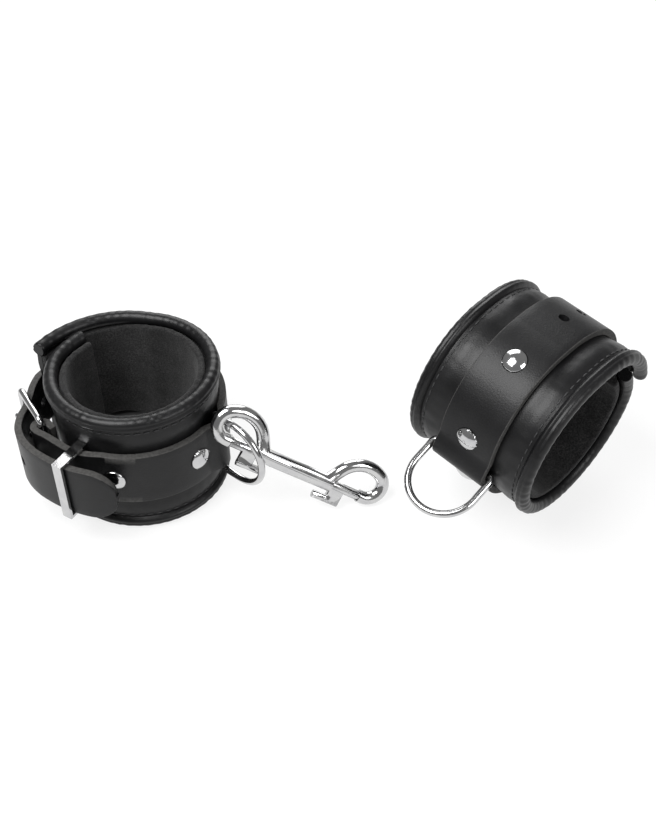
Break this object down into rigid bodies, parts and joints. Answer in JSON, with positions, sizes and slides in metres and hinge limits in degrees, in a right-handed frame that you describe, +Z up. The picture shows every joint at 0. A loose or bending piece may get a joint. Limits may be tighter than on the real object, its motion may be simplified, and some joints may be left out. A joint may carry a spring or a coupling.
{
  "type": "padded wrist cuffs",
  "caption": "Padded leather wrist cuffs with buckled straps, D-rings and a double-ended bolt snap clipped to one ring.",
  "frame": {"origin": "centre of the upright cuff's wrist opening, on the surface it stands on", "axes": "+Z up along the upright cuff, +X towards the cuff that lies on its side, -Y the side with the buckles and thumb pieces"},
  "size_m": [0.2645, 0.1037, 0.0898],
  "materials": {
    "smooth_leather": "smooth black leather with a soft sheen",
    "strap_leather": "smooth black strap leather with rough grey cut edges",
    "suede": "dark grey napped suede",
    "foam": "black foam, hidden",
    "nickel": "bright nickel plate",
    "spring_steel": "drawn steel wire"
  },
  "bodies": {
    "left_cuff": {"left_outer_panel": "smooth_leather", "left_foam_pad": "foam", "left_lining": "suede", "left_top_binding": "smooth_leather", "left_bottom_binding": "smooth_leather", "left_strap": "strap_leather", "left_rivets": "nickel"},
    "left_keeper_loop": {"left_keeper": "nickel"},
    "left_buckle": {"left_buckle_frame": "nickel"},
    "left_prong": {"left_buckle_prong": "nickel"},
    "left_ring": {"left_d_ring": "nickel"},
    "right_cuff": {"right_outer_panel": "smooth_leather", "right_foam_pad": "foam", "right_lining": "suede", "right_top_binding": "smooth_leather", "right_bottom_binding": "smooth_leather", "right_strap": "strap_leather", "right_rivets": "nickel"},
    "right_keeper_loop": {"right_keeper": "nickel"},
    "right_buckle": {"right_buckle_frame": "nickel"},
    "right_prong": {"right_buckle_prong": "nickel"},
    "right_ring": {"right_d_ring": "nickel"},
    "snap": {"snap_body": "nickel", "left_bolt_spring": "spring_steel", "right_bolt_spring": "spring_steel"},
    "left_slide_bolt": {"left_bolt": "nickel"},
    "right_slide_bolt": {"right_bolt": "nickel"}
  },
  "joints": [
    {"name": "left_ring_swing", "type": "hinge", "parent": "left_cuff", "child": "left_ring", "pos_m": [0.0332, -0.01443, 0.03], "axis": [0, 0, 1], "range_deg": [-12, 75]},
    {"name": "left_keeper_slide", "type": "slide", "parent": "left_cuff", "child": "left_keeper_loop", "axis": [-0.8387, 0.5446, 0], "range_m": [0, 0.004]},
    {"name": "left_buckle_rock", "type": "hinge", "parent": "left_cuff", "child": "left_buckle", "pos_m": [-0.03745, -0.01634, 0.03], "axis": [0, 0, 1], "range_deg": [0, 1.5]},
    {"name": "left_prong_lift", "type": "hinge", "parent": "left_buckle", "child": "left_prong", "pos_m": [-0.03745, -0.01634, 0.03], "axis": [0, 0, 1], "range_deg": [0, 1.5]},
    {"name": "right_ring_swing", "type": "hinge", "parent": "right_cuff", "child": "right_ring", "pos_m": [0.13288, -0.04237, 0.0423], "axis": [-0.708, 0.6909, 0.1461], "range_deg": [-60, 70]},
    {"name": "right_keeper_slide", "type": "slide", "parent": "right_cuff", "child": "right_keeper_loop", "axis": [0.6881, 0.6285, 0.3626], "range_m": [0, 0.004]},
    {"name": "right_buckle_rock", "type": "hinge", "parent": "right_cuff", "child": "right_buckle", "pos_m": [0.1793, 0.00853, 0.02653], "axis": [-0.708, 0.6909, 0.1461], "range_deg": [0, 1.5]},
    {"name": "right_prong_lift", "type": "hinge", "parent": "right_buckle", "child": "right_prong", "pos_m": [0.1793, 0.00853, 0.02653], "axis": [-0.708, 0.6909, 0.1461], "range_deg": [0, 1.5]},
    {"name": "snap_swing", "type": "hinge", "parent": "left_ring", "child": "snap", "pos_m": [0.04168, -0.02249, 0.0446], "axis": [0.7254, -0.6884, 0], "range_deg": [0, 28]},
    {"name": "left_bolt_slide", "type": "slide", "parent": "snap", "child": "left_slide_bolt", "axis": [0.8387, -0.0142, -0.5444], "range_m": [0, 0.007], "stiffness_N_per_m": 200, "deforming": ["left_bolt_spring"]},
    {"name": "right_bolt_slide", "type": "slide", "parent": "snap", "child": "right_slide_bolt", "axis": [-0.8387, 0.0142, 0.5444], "range_m": [0, 0.007], "stiffness_N_per_m": 200, "deforming": ["right_bolt_spring"]},
    {"name": "right_cuff_lift", "type": "slide", "parent": "left_cuff", "child": "right_cuff", "axis": [0, 0, 1], "range_m": [0, 0.12]}
  ]
}
